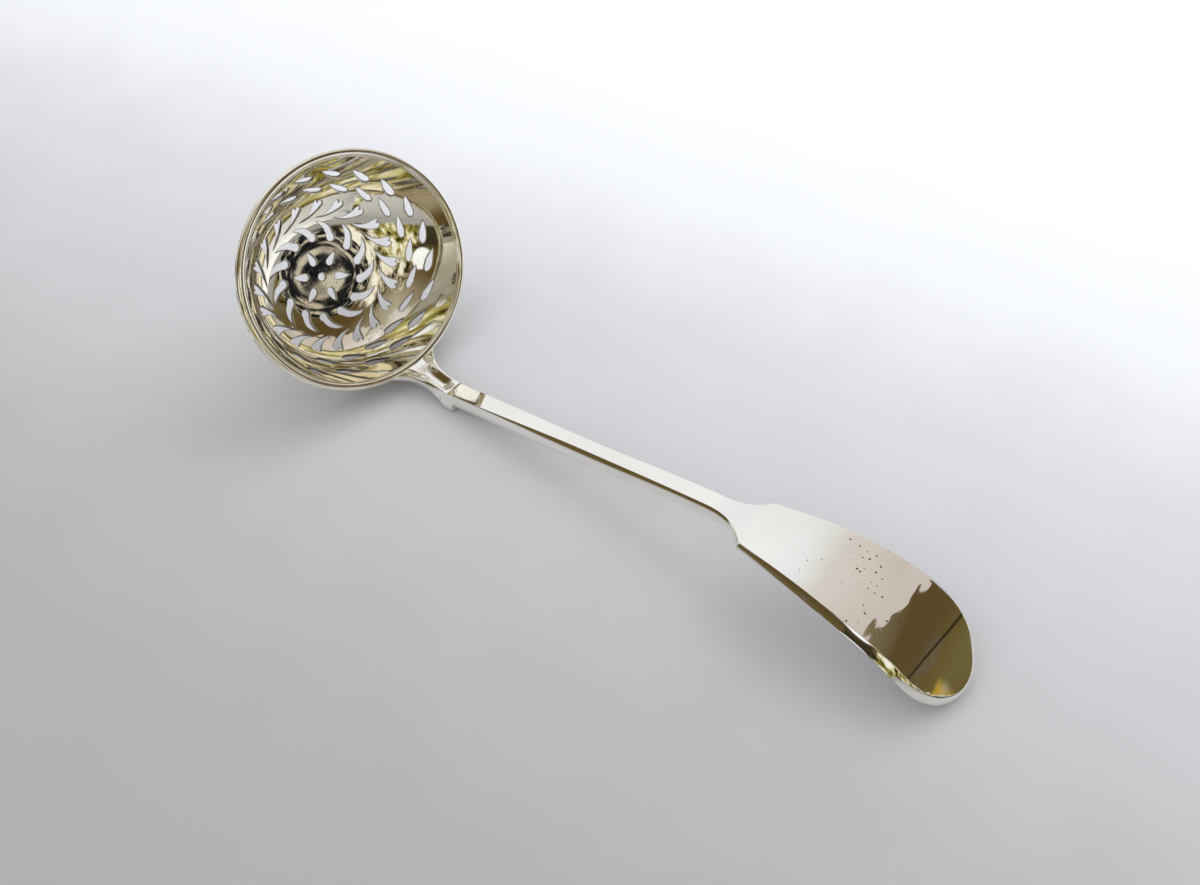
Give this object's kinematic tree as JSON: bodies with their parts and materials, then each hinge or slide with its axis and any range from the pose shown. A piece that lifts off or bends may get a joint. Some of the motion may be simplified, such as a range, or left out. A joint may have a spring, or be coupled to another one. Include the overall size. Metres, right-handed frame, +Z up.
{
  "type": "sugar sifter spoon",
  "caption": "Silver sugar sifter spoon: oval bowl pierced with whirling leaves, rim wire, and a tapering handle with a fiddle-shaped, turned-down end.",
  "frame": {"origin": "on the table under the middle of the spoon's box, as it lies at rest", "axes": "+X from the bowl to the handle end, +Y across the spoon, +Z up from the table"},
  "size_m": [0.153, 0.0524, 0.0414],
  "materials": {
    "bowl_silver": "polished silver, hand-pierced, light tarnish in the piercing",
    "rim_silver": "polished silver wire",
    "handle_silver": "polished silver with fine scratches and small pits"
  },
  "bodies": {
    "root": {"bowl": "bowl_silver", "rim_wire": "rim_silver", "handle": "handle_silver"}
  },
  "joints": []
}
